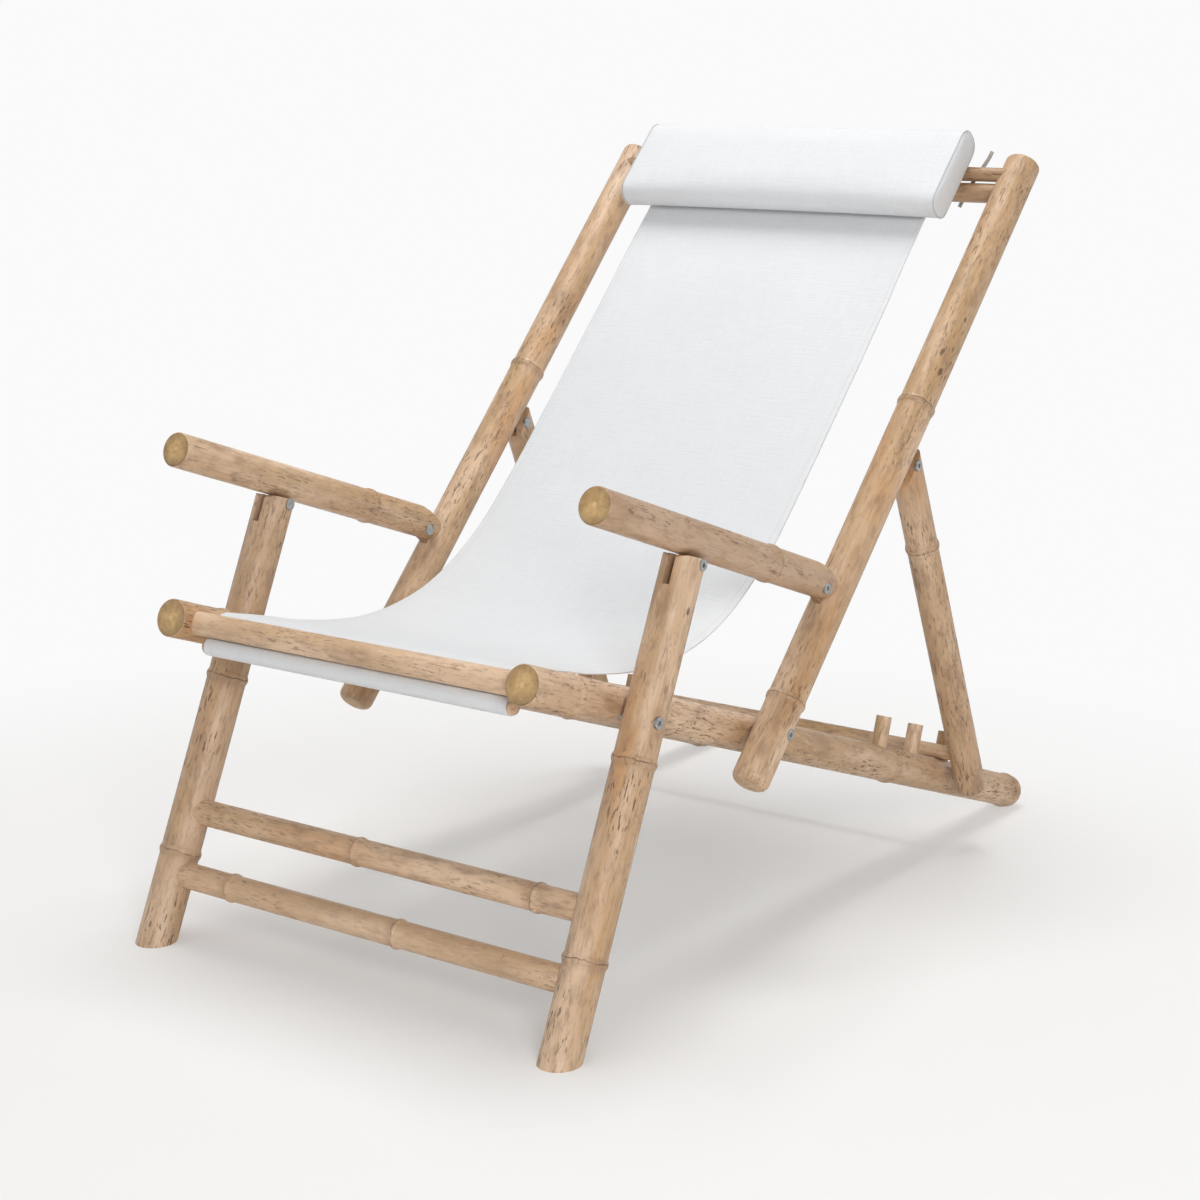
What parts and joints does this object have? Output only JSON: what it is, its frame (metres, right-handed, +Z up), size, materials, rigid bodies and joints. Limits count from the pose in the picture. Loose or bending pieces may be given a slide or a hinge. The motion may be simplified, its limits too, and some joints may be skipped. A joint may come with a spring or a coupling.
{
  "type": "folding recliner",
  "caption": "Folding bamboo recliner: hinged back, crossed rails and legs, swinging arms, a propped crossbar on stop pegs, a hanging cloth sling and a headrest cushion.",
  "frame": {"origin": "on the floor, at the middle of the overall width and length", "axes": "+X to the sitter's left, -Y to the front, +Z up"},
  "size_m": [0.5788, 0.9948, 0.8245],
  "materials": {
    "bamboo": "satin natural bamboo with dark flecks and node rings",
    "dowel_wood": "satin",
    "tongue_wood": "satin split bamboo",
    "bolt_steel": "zinc plated",
    "sling_cloth": "fine plain weave",
    "headrest_cloth": "fine plain weave over soft filling",
    "strap_tape": "woven tape"
  },
  "bodies": {
    "seat_frame": {"rail_left": "bamboo", "rail_right": "bamboo", "front_bar": "bamboo", "front_hem_dowel": "dowel_wood", "peg_left_1": "dowel_wood", "peg_left_2": "dowel_wood", "peg_left_3": "dowel_wood", "peg_right_1": "dowel_wood", "peg_right_2": "dowel_wood", "peg_right_3": "dowel_wood", "sling": "sling_cloth"},
    "leg_frame": {"leg_left": "bamboo", "leg_right": "bamboo", "rung_upper": "bamboo", "rung_lower": "bamboo", "bolt_leg_rail_left": "bolt_steel", "bolt_leg_rail_right": "bolt_steel", "bolt_leg_arm_left": "bolt_steel", "bolt_leg_arm_right": "bolt_steel"},
    "back_frame": {"stile_left": "bamboo", "stile_right": "bamboo", "top_rail": "bamboo", "top_hem_dowel": "dowel_wood", "arm_tongue_left": "tongue_wood", "arm_tongue_right": "tongue_wood", "prop_tongue_left": "tongue_wood", "prop_tongue_right": "tongue_wood", "bolt_stile_rail_left": "bolt_steel", "bolt_stile_rail_right": "bolt_steel", "headrest": "headrest_cloth", "headrest_strap_left": "strap_tape", "headrest_strap_right": "strap_tape"},
    "arm_left": {"arm_left": "bamboo", "arm_tongue_front_left": "tongue_wood", "bolt_arm_left": "bolt_steel"},
    "arm_right": {"arm_right": "bamboo", "arm_tongue_front_right": "tongue_wood", "bolt_arm_right": "bolt_steel"},
    "prop_frame": {"prop_left": "bamboo", "prop_right": "bamboo", "crossbar": "bamboo", "bolt_prop_left": "bolt_steel", "bolt_prop_right": "bolt_steel"}
  },
  "joints": [
    {"name": "back_hinge", "type": "hinge", "parent": "seat_frame", "child": "back_frame", "pos_m": [0, -0.11495, 0.2362], "axis": [1, 0, 0], "range_deg": [0, 80], "deforming": ["sling"]},
    {"name": "leg_hinge", "type": "hinge", "parent": "seat_frame", "child": "leg_frame", "pos_m": [0, -0.34755, 0.3], "axis": [1, 0, 0], "range_deg": [0, 80]},
    {"name": "arm_left_hinge", "type": "hinge", "parent": "back_frame", "child": "arm_left", "pos_m": [0.267, -0.04455, 0.3751], "axis": [1, 0, 0], "range_deg": [-83.5, 0]},
    {"name": "arm_right_hinge", "type": "hinge", "parent": "back_frame", "child": "arm_right", "pos_m": [-0.267, -0.04455, 0.3751], "axis": [1, 0, 0], "range_deg": [-83.5, 0]},
    {"name": "prop_hinge", "type": "hinge", "parent": "back_frame", "child": "prop_frame", "pos_m": [0, 0.13732, 0.47813], "axis": [1, 0, 0], "range_deg": [-40, 0]}
  ],
  "couplings": [
    {"joint": "leg_hinge", "follows": "back_hinge", "ratio": 1},
    {"joint": "arm_left_hinge", "follows": "back_hinge", "ratio": -1.043},
    {"joint": "arm_right_hinge", "follows": "back_hinge", "ratio": -1.043},
    {"joint": "prop_hinge", "follows": "back_hinge", "ratio": -0.5}
  ]
}
